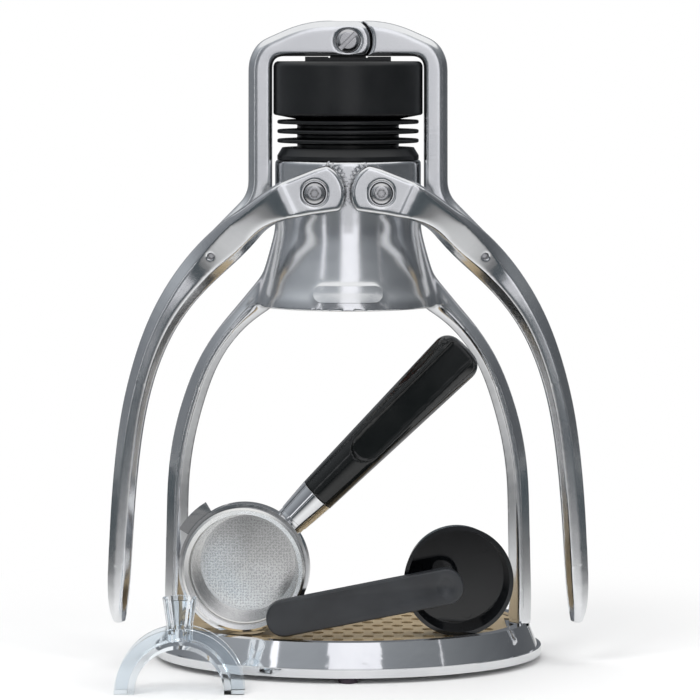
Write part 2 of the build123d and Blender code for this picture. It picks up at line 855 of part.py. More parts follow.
def link_outline():
    """Left half of the arch: crown, shoulder, upright, knee, and the end that lies behind the lever."""
    crown = hinge_height + arch_crown
    knee = bell_top - knee_drop
    soffit = hinge_height - arch_soffit
    shoulder = [
        (-arch_half_width * out, crown - arch_half_width * down)
        for out, down in arch_shoulder_shares
    ]
    tail = [
        (-link_pin_across + crank_length * out, link_pin_height + crank_length * up)
        for out, up in link_tail_shares
    ]
    outer_knee, inner_knee = (-arch_half_width, knee), (-arch_inner_half_width, knee - knee_width)
    inner_corner = (-arch_inner_half_width, soffit)
    outer = [(-lap_end_gap, crown), *shoulder, outer_knee]
    inner = [inner_knee, inner_corner, (-lap_end_gap, soffit)]
    outline = closed_face([*outer, *tail, *inner])
    rounded = [*zip(shoulder, arch_shoulder_radii), (inner_corner, arch_inner_radius)]
    rounded += [(outer_knee, knee_radius), (inner_knee, knee_radius)]
    rounded += [(corner, link_tail_radius) for corner in tail[1:4]]
    for (across, up), radius in rounded:
        corner = min(outline.vertices(), key=lambda v: math.hypot(v.X - across, v.Y - up))
        outline = fillet(corner, radius)
    return outline


def arch_liner():
    """Where the arch's flat front runs on to its opening, over the crown and down to the knees."""
    top, low = hinge_height - arch_soffit + link_liner, bell_top - knee_drop
    half = arch_inner_half_width + link_liner
    return Pos(0, (top + low) / 2) * RectangleRounded(2 * half, top - low, arch_inner_radius + link_liner)


def whole_arch():
    """Both halves of the arch in one, its edges beveled, before it is parted at the hinge."""
    half = link_outline()
    rise = arch_crown + arch_soffit
    bridge = Pos(0, hinge_height - arch_soffit + rise / 2) * Rectangle(4 * lap_end_gap, rise)
    outline = (half + mirror(half, about=Plane.YZ) + bridge).face()
    raw = plate(outline, -link_front, link_front)
    faces = raw.faces().sort_by(Axis.Y)
    beveled = chamfer(faces[0].edges() + faces[-1].edges(), link_bevel)
    return beveled + (raw & plate(arch_liner(), -link_front, link_front))


def link(side):
    """One half of the arch, ending at the hinge in a round lap: the left half's lies in front."""
    lap_front, lap_back = (-link_depth, -lap_half) if side < 0 else (lap_half, link_depth)
    gap_front, gap_back = (-lap_half, link_depth) if side < 0 else (-link_depth, lap_half)
    reach = arch_half_width + crank_length
    own_side = Pos(side * (lap_end_gap + reach), 0, hinge_height) * Box(2 * reach, 2 * link_depth, 4 * reach)
    body = whole_arch() & (own_side + rod_back(knuckle_radius, 0, hinge_height, lap_front, lap_back))
    body -= rod_back(knuckle_radius + free_gap, 0, hinge_height, gap_front, gap_back)
    body -= rod_back(link_pin_radius, side * link_pin_across, link_pin_height, -link_depth, link_depth)
    body -= rod_back(hinge_screw_radius + run_gap, 0, hinge_height, -link_depth, link_depth)
    if side < 0:
        head_room = hinge_head_radius + seat_gap
        body -= rod_back(head_room, 0, hinge_height, -link_depth, -link_front + hinge_head_recess)
    return body


def hinge_screw():
    seat = -link_front + hinge_head_recess
    head = rod_back(hinge_head_radius, 0, hinge_height, seat - hinge_head_height, seat)
    head = fillet(head.faces().sort_by(Axis.Y)[0].edges(), hinge_head_height * hinge_crown_share)
    shank = rod_back(hinge_screw_radius, 0, hinge_height, seat, link_front + hinge_nut_height)
    front = seat - hinge_head_height
    slot = Rot(0, -hinge_slot_angle, 0) * Box(2 * hinge_head_radius, 2 * hinge_slot_depth, hinge_slot_width)
    return head + shank - Pos(0, front, hinge_height) * slot


def hinge_nut():
    dome = rod_back(hinge_nut_radius, 0, hinge_height, link_front + run_gap, link_front + hinge_nut_height)
    return dome - rod_back(hinge_screw_radius + run_gap, 0, hinge_height, 0, link_depth)


# Piston

first_fin = bell_top + chamber_rim_height + fin_gap
cup_bottom = first_fin + (fin_count - 1) * fin_pitch + cup_gap
cup_top = hinge_height - arch_soffit - knuckle_room - yoke_block_height
piston_face = chamber_bottom + screen_bridge_thick + head_floor


def water_cup():
    floor = cup_bottom + cup_cone + cup_floor
    body = turned([
        (0, cup_bottom), (stem_radius, cup_bottom), (cup_radius, cup_bottom + cup_cone),
        (cup_radius, cup_top - cup_edge), (cup_radius - cup_wall / 2, cup_top),
        (cup_radius - cup_wall, cup_top), (cup_radius - cup_wall, floor), (cup_column_radius, floor),
        (cup_column_radius, cup_top), (0, cup_top),
    ])
    drill = rod(cup_port_radius, cup_bottom - overrun, floor + overrun)
    for port in around(cup_port_count, cup_port_circle, drill):
        body -= port
    return body - rod(rod_radius + run_gap, cup_bottom - overrun, cup_top + overrun)


def piston_yoke():
    block_top = cup_top + yoke_block_height
    upright = (Align.CENTER, Align.CENTER, Align.MIN)
    rise = yoke_block_height + knuckle_room - yoke_top_gap
    block = Pos(0, 0, cup_top) * Box(yoke_block_width, yoke_block_depth, rise, align=upright)
    block -= Pos(0, 0, block_top) * Box(yoke_notch_width, 2 * yoke_block_depth, overrun, align=upright)
    half = lap_half - seat_gap
    eye = rod_back(arch_soffit - knuckle_room, 0, hinge_height, -half, half)
    neck_height = hinge_height - block_top
    neck = Pos(0, 0, block_top) * Box(yoke_neck_width, 2 * half, neck_height, align=upright)
    body = block + eye + neck
    body -= rod_back(hinge_screw_radius + run_gap, 0, hinge_height, -link_depth, link_depth)
    return body - rod(rod_radius + run_gap, cup_top - overrun, block_top)


def piston_stem():
    bottom = piston_face + head_height
    wall = stem_radius - stem_wall
    body = tube(stem_radius, wall, bottom, cup_bottom)
    for k in range(fin_count):
        middle = first_fin + k * fin_pitch
        fin = turned([
            (wall, middle - fin_root / 2), (stem_radius, middle - fin_root / 2),
            (fin_radius, middle - fin_tip / 2), (fin_radius, middle + fin_tip / 2),
            (stem_radius, middle + fin_root / 2), (wall, middle + fin_root / 2),
        ])
        body += fin
    return body


def piston_head():
    outer = chamber_bore - seat_gap
    groove = outer - seal_groove
    middle = piston_face + head_height / 2
    top = piston_face + head_height
    body = turned([
        (0, piston_face), (outer, piston_face), (outer, middle - seal_width / 2),
        (groove, middle - seal_width / 2), (groove, middle + seal_width / 2),
        (outer, middle + seal_width / 2), (outer, top), (0, top),
    ])
    drill = rod(valve_port_radius, piston_face - overrun, top + overrun)
    for port in around(cup_port_count, valve_circle, drill):
        body -= port
    body -= rod(rod_nut_radius + seat_gap, piston_face - overrun, piston_face + rod_nut_height)
    return body - rod(rod_radius + run_gap, piston_face - overrun, top + overrun)


def piston_seal():
    middle = piston_face + head_height / 2
    inner = chamber_bore - seat_gap - seal_groove + run_gap
    half = seal_width / 2 - run_gap
    return tube(chamber_bore - run_gap, inner, middle - half, middle + half)


def check_valve():
    """Soft ring under the piston's ports that lets water down and not up again."""
    outer = valve_circle + valve_port_radius + valve_thick
    return tube(outer, rod_nut_radius + free_gap, piston_face - valve_thick, piston_face)


def piston_rod():
    """Tie bolt from the piston's face up to the yoke, its head sunk in the face."""
    head_top = piston_face + rod_nut_height
    head = rod(rod_nut_radius, piston_face + seat_gap, head_top)
    return head + rod(rod_radius, head_top, cup_top + yoke_block_height - seat_gap)


# Portafilter, drawn about its own axis with the rim at zero, then laid against the left leg


def filter_frame():
    """Its mouth faces the front and its handle rises to the right."""
    turn, rise = math.radians(filter_turn), math.radians(handle_rise)
    out = Vector(math.sin(turn), -math.cos(turn), 0)
    level = Vector(math.cos(turn), math.sin(turn), 0)
    handle = level * math.cos(rise) + Vector(0, 0, 1) * math.sin(rise)
    middle = (filter_place_across, -filter_place_front, grid_top + filter_radius + rest_gap)
    return Plane(origin=middle, x_dir=handle, z_dir=out)


handle_height = -neck_drop


def along_handle(points):
    """A solid turned about the handle's axis from (distance from the rim's middle, radius) points."""
    outline = Polyline(*[(x, r, 0) for x, r in points], close=True)
    return Pos(0, 0, handle_height) * revolve(make_face(outline), Axis.X)


stud_start = filter_bore + (filter_radius - filter_bore) / 2
neck_end = filter_radius + neck_length
ferrule_end = neck_end + ferrule_length
grip_end = ferrule_end + grip_length


def portafilter_body():
    waist = -filter_depth * filter_waist_share
    floor = -filter_depth + filter_floor
    body = turned([
        (0, -filter_depth), (filter_foot_radius, -filter_depth), (filter_waist_radius, waist),
        (filter_radius, -filter_collar), (filter_radius, 0), (0, 0),
    ])
    body += rod(outlet_radius, -filter_depth - outlet_length, -filter_depth)
    body += along_handle([(0, 0), (0, neck_radius), (neck_end, neck_radius), (neck_end, 0)])
    half = math.radians(lug_angle / 2)
    reach = 2 * lug_radius
    wedge = Polygon(
        (0, 0),
        (reach * math.cos(half), -reach * math.sin(half)),
        (reach * math.cos(half), reach * math.sin(half)),
        align=None,
    )
    lug_face = Circle(lug_radius) & wedge
    for turn in (lug_from_handle, lug_from_handle + 180):
        body += Rot(0, 0, turn) * extrude(Pos(0, 0, -lug_drop - lug_height) * lug_face, lug_height)
    body -= turned([
        (0, floor), (filter_foot_radius - filter_wall, floor), (filter_bore, waist), (filter_bore, overrun),
        (0, overrun),
    ])
    body -= rod(outlet_bore, -filter_depth - outlet_length - overrun, overrun)
    bore = stud_radius + run_gap
    start = stud_start - seat_gap
    end = neck_end + overrun
    return body - along_handle([(start, 0), (start, bore), (end, bore), (end, 0)])


def filter_basket():
    groove = -basket_groove_drop
    half = basket_groove_depth
    inner_top = basket_top_radius - basket_sheet
    inner_floor = basket_floor_radius - basket_sheet
    return turned([
        (0, -basket_depth), (basket_floor_radius, -basket_depth), (basket_top_radius - half, groove - half),
        (basket_top_radius - basket_groove_depth, groove), (basket_top_radius, groove + half),
        (basket_top_radius, seat_gap), (basket_rim_radius, seat_gap), (basket_rim_radius, basket_rim_height),
        (basket_rim_radius - basket_rim_lip, basket_rim_height + basket_sheet),
        (inner_top, basket_rim_height), (inner_top, groove + half),
        (inner_top - basket_groove_depth, groove), (inner_top - half, groove - half),
        (inner_floor, -basket_depth + basket_sheet), (0, -basket_depth + basket_sheet),
    ])


def basket_spring():
    """Sprung wire ring that grips the basket in the portafilter."""
    middle = -basket_groove_drop - spring_wire
    radius = basket_top_radius - basket_groove_depth + spring_wire / 2 + run_gap
    ring = Pos(0, 0, middle) * Torus(radius, spring_wire / 2)
    gap = Rot(0, 0, 180 + lug_from_handle) * Pos(radius, 0, middle) * Box(overrun, overrun, overrun)
    return ring - gap


def handle_ferrule():
    bore = stud_radius + run_gap
    return along_handle([
        (neck_end, bore), (neck_end, ferrule_start_radius),
        (ferrule_end, grip_start_radius), (ferrule_end, bore)
    ])


def handle_grip():
    bore = stud_radius + run_gap
    body = along_handle([
        (ferrule_end, 0), (ferrule_end, grip_start_radius), (grip_end, grip_end_radius), (grip_end, 0),
    ])
    body = fillet(body.edges().sort_by(Axis.X)[-1], grip_round)
    panel_length = grip_length - grip_panel_start + overrun
    panel_middle = ferrule_end + grip_panel_start + panel_length / 2
    panel = Pos(panel_middle, 0) * SlotOverall(panel_length, grip_panel_width)
    panel_floor = handle_height + grip_start_radius - grip_panel_depth
    body -= extrude(Pos(0, 0, panel_floor) * panel, grip_end_radius)
    hole_end = ferrule_end + stud_grip + seat_gap
    return body - along_handle([(0, 0), (0, bore), (hole_end, bore), (hole_end, 0)])


def handle_stud():
    end = ferrule_end + stud_grip
    return along_handle([(stud_start, 0), (stud_start, stud_radius), (end, stud_radius), (end, 0)])


# Scoop tamper, drawn with its mouth up and its bar to the left


def dish_frame():
    turn = math.radians(dish_turn)
    out = Vector(math.sin(turn), -math.cos(turn), 0)
    level = Vector(math.cos(turn), math.sin(turn), 0)
    droop = math.radians(bar_droop)
    along = level * math.cos(droop) + Vector(0, 0, 1) * math.sin(droop)
    middle = (dish_place_across, -dish_place_front, grid_top + dish_radius + rest_gap)
    return Plane(origin=middle, x_dir=along, z_dir=out)


def scoop_dish():
    floor = -dish_depth + dish_floor
    body = turned([
        (0, -dish_depth), (dish_radius - dish_taper, -dish_depth), (dish_radius, 0),
        (dish_radius - dish_wall, 0), (dish_radius - dish_wall - dish_taper, floor), (0, floor),
    ])
    post = Pos(-post_offset, 0, 0) * rod(post_radius, floor, bar_gap)
    mark = rod(dish_mark_radius, floor - dish_mark_depth, floor)
    for place in around(dish_mark_count, dish_mark_circle, mark, dish_mark_turn):
        body -= place
    bore = rod(stake_radius + run_gap, floor + dish_floor, bar_gap + overrun)
    return body + post - Pos(-post_offset, 0, 0) * bore


def scoop_bar():
    whole = bar_length + 2 * bar_half_width
    outline = Pos(-post_offset - bar_length / 2, 0) * SlotOverall(whole, 2 * bar_half_width)
    bar = extrude(Pos(0, 0, bar_gap) * outline, bar_thick)
    bar = fillet(bar.faces().sort_by(Axis.Z)[-1].edges(), bar_edge)
    top = bar_gap + bar_thick
    sphere = (dimple_radius**2 + dimple_depth**2) / (2 * dimple_depth)
    bar -= Pos(-post_offset, 0, top + sphere - dimple_depth) * Sphere(sphere)
    stake = Pos(-post_offset, 0, 0) * rod(stake_radius, bar_gap - post_radius, bar_gap)
    return bar + stake


# Twin spout, a clear arch with a split collar that pushes on to the portafilter's outlet


def twin_spout():
    inner = spout_outer_radius - spout_band
    ring = Circle(spout_outer_radius) - Circle(inner)
    upper = Pos(0, spout_outer_radius / 2) * Rectangle(2 * spout_outer_radius + overrun, spout_outer_radius)
    arch = plate(ring & upper, -spout_depth / 2, spout_depth / 2)
    channel = Circle(spout_outer_radius + overrun) - Circle(spout_outer_radius - channel_depth)
    arch -= plate(channel, -channel_width / 2, channel_width / 2)
    floor = spout_outer_radius - channel_depth
    top = floor + channel_depth + prong_height
    collar = turned([
        (prong_base_radius - prong_wall, floor - run_gap), (prong_base_radius, floor - run_gap),
        (prong_base_radius, spout_outer_radius),
        (prong_top_radius, top), (prong_top_radius - prong_wall, top),
        (prong_base_radius - prong_wall, spout_outer_radius),
    ])
    for turn in (45, 135):
        collar -= Rot(0, 0, turn) * (Pos(0, 0, spout_outer_radius - prong_slot) * Box(
            3 * prong_top_radius, prong_slot, prong_height + 2 * prong_slot,
            align=(Align.CENTER, Align.CENTER, Align.MIN),
        ))
    return Pos(spout_place_across, -spout_place_front, 0) * (arch + collar)


def assembly():
    """Every piece by name, about the brew axis."""
    filter_place = filter_frame().location
    dish_place = dish_frame().location
    return {
        "base_casting": base_casting(),
        "drip_grid": drip_grid(),
        "rubber_feet": feet(),
        "leg_screws": leg_screws(),
        "bell_casting": bell_casting(),
        "brew_chamber": brew_chamber(),
        "shower_screen": shower_screen(),
        "screen_screw": screen_screw(),
        "group_gasket": group_gasket(),
        "pivot_screws": pivot_screws(),
        "left_lever": lever(-1),
        "left_lever_bush": lever_bush(-1),
        "left_link_pin": link_pin(-1),
        "right_lever": lever(1),
        "right_lever_bush": lever_bush(1),
        "right_link_pin": link_pin(1),
        "left_link": link(-1),
        "right_link": link(1),
        "hinge_screw": hinge_screw(),
        "hinge_nut": hinge_nut(),
        "water_cup": water_cup(),
        "piston_yoke": piston_yoke(),
        "piston_stem": piston_stem(),
        "piston_head": piston_head(),
        "piston_seal": piston_seal(),
        "check_valve": check_valve(),
        "piston_rod": piston_rod(),
        "portafilter_body": filter_place * portafilter_body(),
        "filter_basket": filter_place * filter_basket(),
        "basket_spring": filter_place * basket_spring(),
        "handle_ferrule": filter_place * handle_ferrule(),
        "handle_grip": filter_place * handle_grip(),
        "handle_stud": filter_place * handle_stud(),
        "scoop_dish": dish_place * scoop_dish(),
        "scoop_bar": dish_place * scoop_bar(),
        "twin_spout": twin_spout(),
    }


os.makedirs("parts", exist_ok=True)
for name, shape in assembly().items():
    export_step(Pos(0, footprint_shift, 0) * shape, f"parts/{name}.step")
print(f"footprint shift {footprint_shift:.3f}, piston travel {piston_travel:.3f}")
print(f"link turn {link_turn:.3f} deg")
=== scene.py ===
import json
import math

import bmesh
import bpy
from mathutils import Euler, Matrix, Vector


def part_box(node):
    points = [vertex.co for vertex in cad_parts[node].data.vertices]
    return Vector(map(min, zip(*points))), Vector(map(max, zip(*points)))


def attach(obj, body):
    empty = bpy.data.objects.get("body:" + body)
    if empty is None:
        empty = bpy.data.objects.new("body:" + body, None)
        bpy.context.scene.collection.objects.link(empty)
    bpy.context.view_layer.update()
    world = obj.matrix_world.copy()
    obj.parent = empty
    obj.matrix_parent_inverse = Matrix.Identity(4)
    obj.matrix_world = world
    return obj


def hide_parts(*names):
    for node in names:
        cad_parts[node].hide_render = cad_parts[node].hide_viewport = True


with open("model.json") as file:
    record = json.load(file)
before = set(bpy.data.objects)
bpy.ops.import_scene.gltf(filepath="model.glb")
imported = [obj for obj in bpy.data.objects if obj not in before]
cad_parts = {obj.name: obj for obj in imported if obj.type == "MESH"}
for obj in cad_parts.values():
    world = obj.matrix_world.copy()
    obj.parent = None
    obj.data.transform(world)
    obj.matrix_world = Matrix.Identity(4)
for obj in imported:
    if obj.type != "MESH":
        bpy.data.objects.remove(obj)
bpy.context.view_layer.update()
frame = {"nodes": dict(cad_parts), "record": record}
nodes = frame["nodes"]
record = frame["record"]
body_of = {node: body for body, members in record["behaviour"]["bodies"].items() for node in members}
scene = bpy.context.scene
MM = 0.001

# metals: how far the painted shade in corners reaches and its tone, and the depth of polishing lines, in
# metres
PAINTED_SHADE_REACH = 0.0014
PAINTED_SHADE_TONE = (0.15, 0.15, 0.15)
LINE_DEPTH = 0.0003

# the basket: a point on its axis in mm, its turn in degrees, and in metres its floor and its holes' edge
BASKET_MIDDLE = (-46.6, -21.75, 45.0)
BASKET_TURN = (90.0, 0.0, -4.0)
BASKET_FLOOR = (-0.0180, -0.0186)
BASKET_HOLES_EDGE = (0.0206, 0.0203)

# corners closer than this, in metres, are one corner, and an edge that turns further than this is sharp
SAME_CORNER = 0.000004
SHARP_ANGLE = 28.0

# sizes of pieces are in mm from here on
BROKEN_EDGE = 0.12
BUFF_FACTOR = 0.5

# the room that holds a lever's teeth: size, middle inwards of the pivot, middle before the bush's back
GEAR_ROOM = (15.0, 8.3, 30.0)
GEAR_ROOM_INWARD = 9.5
GEAR_ROOM_FORWARD = 2.15

# the bell's plate: size, height of its middle, start of its cut before the brew axis, and the cut's reach
PLATE_LENGTH = 31.0
PLATE_HEIGHT = 7.2
PLATE_MIDDLE = 168.3
PLATE_BACK = 33.0
PLATE_REACH = 16.0

# the ring round a pivot screw's head: inner and outer radius, lower and upper face before the bush
SEAT_RADII = (5.15, 5.75)
SEAT_HEIGHTS = (1.15, 1.85)

# the sight hole in front of a link pin
SIGHT_RADIUS = 1.45
SIGHT_REACH = 12.0

# where a casting is blended further, each with its reach and the rounds of smoothing:
# from hub to arm, outwards, back and up from the pivot
HUB_TO_ARM = (23.0, 4.0, -8.0)
HUB_BLEND = (16.0, 140)
# from bell to leg, out from the brew axis and up from the table
SHOULDER_OUT = 44.0
SHOULDER_HEIGHT = 168.0
SHOULDER_BLEND = (24.0, 90)
# round the bell's plate, before the brew axis and below the plate's middle, but not at the mouth's edge
PLATE_SKIN_OUT = 41.0
PLATE_SKIN_DROP = 3.0
PLATE_SKIN_BLEND = (22.0, 40)
MOUTH_EDGE = 161.6

# the set, in metres
TABLE_RADIUS = 0.52
GROUND_RADIUS = 2.7
GROUND_DROP = 0.02
TENT_RADIUS = 2.6
TENT_HEIGHT = 2.4


# Shader helpers


def shader_node(tree, kind, **values):
    """A new node with its input sockets set by name."""
    made = tree.nodes.new(kind)
    for name, value in values.items():
        made.inputs[name.replace("_", " ")].default_value = value
    return made


def wire(tree, source, target):
    tree.links.new(source, target)


def spread(tree, source, low, high, start=0.0, end=1.0):
    """Maps a value that runs from start to end to a range."""
    made = shader_node(tree, "ShaderNodeMapRange", From_Min=start, From_Max=end, To_Min=low, To_Max=high)
    wire(tree, source, made.inputs["Value"])
    return made.outputs["Result"]


def maths(tree, operation, first, second):
    """The result of an operation on a socket and a second socket or number."""
    made = tree.nodes.new("ShaderNodeMath")
    made.operation = operation
    wire(tree, first, made.inputs[0])
    if isinstance(second, float):
        made.inputs[1].default_value = second
    else:
        wire(tree, second, made.inputs[1])
    return made.outputs["Value"]


def distance(tree, place):
    """How far a place lies from the origin."""
    made = tree.nodes.new("ShaderNodeVectorMath")
    made.operation = "LENGTH"
    wire(tree, place, made.inputs[0])
    return made.outputs["Value"]


def effect_group(name, inputs, outputs):
    """An empty node group with its sockets: (name, kind, default)."""
    group = bpy.data.node_groups.new(name, "ShaderNodeTree")
    for label, kind, default in inputs:
        socket = group.interface.new_socket(label, in_out="INPUT", socket_type=kind)
        socket.default_value = default
    for label, kind in outputs:
        group.interface.new_socket(label, in_out="OUTPUT", socket_type=kind)
    entry = group.nodes.new("NodeGroupInput")
    leave = group.nodes.new("NodeGroupOutput")
    return group, entry, leave


def use_group(tree, group, **values):
    made = tree.nodes.new("ShaderNodeGroup")
    made.node_tree = group
    for name, value in values.items():
        made.inputs[name.replace("_", " ")].default_value = value
    return made


def make_polish_marks():
    """Hair-fine polishing lines along a direction, and the cloudy smears that hands leave on metal."""
    group, entry, leave = effect_group(
        "polish_marks",
        [("Stretch", "NodeSocketVector", (1.0, 1.0, 1.0)), ("Line Scale", "NodeSocketFloat", 900.0),
         ("Smear Scale", "NodeSocketFloat", 45.0)],
        [("Lines", "NodeSocketFloat"), ("Smears", "NodeSocketFloat")],
    )
    where = group.nodes.new("ShaderNodeTexCoord")
    drawn = group.nodes.new("ShaderNodeMapping")
    wire(group, where.outputs["Object"], drawn.inputs["Vector"])
    wire(group, entry.outputs["Stretch"], drawn.inputs["Scale"])
    lines = shader_node(group, "ShaderNodeTexNoise", Detail=4.0, Roughness=0.65)
    wire(group, drawn.outputs["Vector"], lines.inputs["Vector"])
    wire(group, entry.outputs["Line Scale"], lines.inputs["Scale"])
    smears = shader_node(group, "ShaderNodeTexNoise", Detail=3.0, Roughness=0.55, Distortion=0.6)
    wire(group, where.outputs["Object"], smears.inputs["Vector"])
    wire(group, entry.outputs["Smear Scale"], smears.inputs["Scale"])
    wire(group, lines.outputs["Fac"], leave.inputs["Lines"])
    wire(group, smears.outputs["Fac"], leave.inputs["Smears"])
    return group


def make_moulded_grain():
    """The fine spark-eroded grain of moulded plastic, and a slow mottle in its sheen."""
    group, entry, leave = effect_group(
        "moulded_grain",
        [("Grain Scale", "NodeSocketFloat", 1500.0), ("Mottle Scale", "NodeSocketFloat", 60.0)],
        [("Grain", "NodeSocketFloat"), ("Mottle", "NodeSocketFloat")],
    )
    where = group.nodes.new("ShaderNodeTexCoord")
    grain = shader_node(group, "ShaderNodeTexNoise", Detail=2.0, Roughness=0.6)
    mottle = shader_node(group, "ShaderNodeTexNoise", Detail=3.0, Roughness=0.5)
    for texture, label in ((grain, "Grain Scale"), (mottle, "Mottle Scale")):
        wire(group, where.outputs["Object"], texture.inputs["Vector"])
        wire(group, entry.outputs[label], texture.inputs["Scale"])
    wire(group, grain.outputs["Fac"], leave.inputs["Grain"])
    wire(group, mottle.outputs["Fac"], leave.inputs["Mottle"])
    return group


def make_recess_shade():
    """Painted shade in slots, sockets and seams: 0 in the open, 1 deep in a corner."""
    group, entry, leave = effect_group(
        "recess_shade", [("Reach", "NodeSocketFloat", 0.002)], [("Shade", "NodeSocketFloat")]
    )
    closed_in = group.nodes.new("ShaderNodeAmbientOcclusion")
    closed_in.samples = 8
    wire(group, entry.outputs["Reach"], closed_in.inputs["Distance"])
    wire(group, spread(group, closed_in.outputs["AO"], 0.0, 1.0, 0.85, 0.25), leave.inputs["Shade"])
    return group


polish_marks = make_polish_marks()
moulded_grain = make_moulded_grain()
recess_shade = make_recess_shade()


def start_material(name):
    made = bpy.data.materials.new(name)
    made.use_nodes = True
    tree = made.node_tree
    return made, tree, tree.nodes["Principled BSDF"]


def two_tone(tree, mask, dark, light, target):
    """A colour that moves between two tones with a mask."""
    ramp = tree.nodes.new("ShaderNodeValToRGB")
    ramp.color_ramp.elements[0].position = 0.3
    ramp.color_ramp.elements[0].color = (*dark, 1.0)
    ramp.color_ramp.elements[1].position = 0.7
    ramp.color_ramp.elements[1].color = (*light, 1.0)
    wire(tree, mask, ramp.inputs["Fac"])
    wire(tree, ramp.outputs["Color"], target)


def relief(tree, shader, height, strength, depth):
    bump = shader_node(tree, "ShaderNodeBump", Strength=strength, Distance=depth)
    wire(tree, height, bump.inputs["Height"])
    wire(tree, bump.outputs["Normal"], shader.inputs["Normal"])
    return bump


def shade_recesses(tree, shader):
    """Paints shade into a metal's colour, a dull tone where it is closed in."""
    colour = shader.inputs["Base Color"].links[0].from_socket
    shade = use_group(tree, recess_shade, Reach=PAINTED_SHADE_REACH)
    mixed = tree.nodes.new("ShaderNodeMix")
    mixed.data_type = "RGBA"
    mixed.inputs["B"].default_value = (*PAINTED_SHADE_TONE, 1.0)
    wire(tree, shade.outputs["Shade"], mixed.inputs["Factor"])
    wire(tree, colour, mixed.inputs["A"])
    wire(tree, mixed.outputs["Result"], shader.inputs["Base Color"])


def metal(
    name, dark, light, rough, stretch=(1.0, 1.0, 1.0), lines=900.0, smears=45.0, depth=0.02, wave=0.0,
    metallic=1.0,
):
    """A bright metal: tone and gloss follow polishing lines and smears, and a wave ripples a plated one."""
    made, tree, shader = start_material(name)
    shader.inputs["Metallic"].default_value = metallic
    marks = use_group(tree, polish_marks, Stretch=stretch, Line_Scale=lines, Smear_Scale=smears)
    two_tone(tree, marks.outputs["Smears"], dark, light, shader.inputs["Base Color"])
    # painted shade: the colour turns darker where the surface is closed in
    shade_recesses(tree, shader)
    from_lines = maths(tree, "MULTIPLY", marks.outputs["Lines"], 0.6)
    from_smears = maths(tree, "MULTIPLY", marks.outputs["Smears"], 0.4)
    wear = maths(tree, "ADD", from_lines, from_smears)
    wire(tree, spread(tree, wear, *rough), shader.inputs["Roughness"])
    bump = relief(tree, shader, marks.outputs["Lines"], depth, LINE_DEPTH)
    if wave:
        ripple = shader_node(tree, "ShaderNodeBump", Strength=1.0, Distance=wave)
        wire(tree, marks.outputs["Smears"], ripple.inputs["Height"])
        wire(tree, ripple.outputs["Normal"], bump.inputs["Normal"])
    return made


def spun_basket(name):
    """Stainless sheet spun on a lathe: rings about its own axis, and a floor with rows of fine holes."""
    made, tree, shader = start_material(name)
    shader.inputs["Metallic"].default_value = 1.0
    middle = [c * MM for c in BASKET_MIDDLE]
    turn = [math.radians(a) for a in BASKET_TURN]
    where = tree.nodes.new("ShaderNodeTexCoord")
    own = tree.nodes.new("ShaderNodeMapping")
    own.vector_type = "TEXTURE"
    own.inputs["Location"].default_value = middle
    own.inputs["Rotation"].default_value = turn
    wire(tree, where.outputs["Object"], own.inputs["Vector"])
    parts = tree.nodes.new("ShaderNodeSeparateXYZ")
    wire(tree, own.outputs["Vector"], parts.inputs["Vector"])
    flat = tree.nodes.new("ShaderNodeCombineXYZ")
    wire(tree, parts.outputs["X"], flat.inputs["X"])
    wire(tree, parts.outputs["Y"], flat.inputs["Y"])
    radius = distance(tree, flat.outputs["Vector"])
    ring = tree.nodes.new("ShaderNodeCombineXYZ")
    wire(tree, radius, ring.inputs["X"])
    wire(tree, parts.outputs["Z"], ring.inputs["Z"])
    rings = shader_node(tree, "ShaderNodeTexNoise", Scale=1400.0, Detail=2.0, Roughness=0.5)
    wire(tree, ring.outputs["Vector"], rings.inputs["Vector"])
    rows = shader_node(tree, "ShaderNodeTexVoronoi", Scale=800.0, Randomness=0.5)
    rows.voronoi_dimensions = "2D"
    wire(tree, flat.outputs["Vector"], rows.inputs["Vector"])
    holes = spread(tree, rows.outputs["Distance"], 0.0, 1.0, 0.40, 0.26)
    deep = spread(tree, parts.outputs["Z"], 0.0, 1.0, *BASKET_FLOOR)
    inside = spread(tree, radius, 0.0, 1.0, *BASKET_HOLES_EDGE)
    mask = maths(tree, "MULTIPLY", maths(tree, "MULTIPLY", holes, deep), inside)
    tone = tree.nodes.new("ShaderNodeMix")
    tone.data_type = "RGBA"
    tone.inputs["A"].default_value = (0.80, 0.80, 0.79, 1.0)
    tone.inputs["B"].default_value = (0.60, 0.60, 0.60, 1.0)
    wire(tree, mask, tone.inputs["Factor"])
    wire(tree, tone.outputs["Result"], shader.inputs["Base Color"])
    wire(tree, spread(tree, rings.outputs["Fac"], 0.20, 0.28), shader.inputs["Roughness"])
    relief(tree, shader, rings.outputs["Fac"], 0.015, 0.0002)
    # the turning marks run round the axis, so the sheen fans out from the middle
    shader.inputs["Anisotropic"].default_value = 0.75
    away = tree.nodes.new("ShaderNodeVectorMath")
    away.operation = "SUBTRACT"
    wire(tree, where.outputs["Object"], away.inputs[0])
    away.inputs[1].default_value = middle
    round_about = tree.nodes.new("ShaderNodeVectorMath")
    round_about.operation = "CROSS_PRODUCT"
    wire(tree, away.outputs["Vector"], round_about.inputs[0])
    round_about.inputs[1].default_value = Euler(turn).to_matrix() @ Vector((0, 0, 1))
    wire(tree, round_about.outputs["Vector"], shader.inputs["Tangent"])
    return made


def plastic(name, dark, light, rough, depth=0.06):
    """A moulded plastic or rubber, with a grain where it has a depth."""
    made, tree, shader = start_material(name)
    marks = use_group(tree, moulded_grain)
    two_tone(tree, marks.outputs["Mottle"], dark, light, shader.inputs["Base Color"])
    wire(tree, spread(tree, marks.outputs["Mottle"], *rough), shader.inputs["Roughness"])
    if depth:
        relief(tree, shader, marks.outputs["Grain"], depth, 0.0002)
    return made


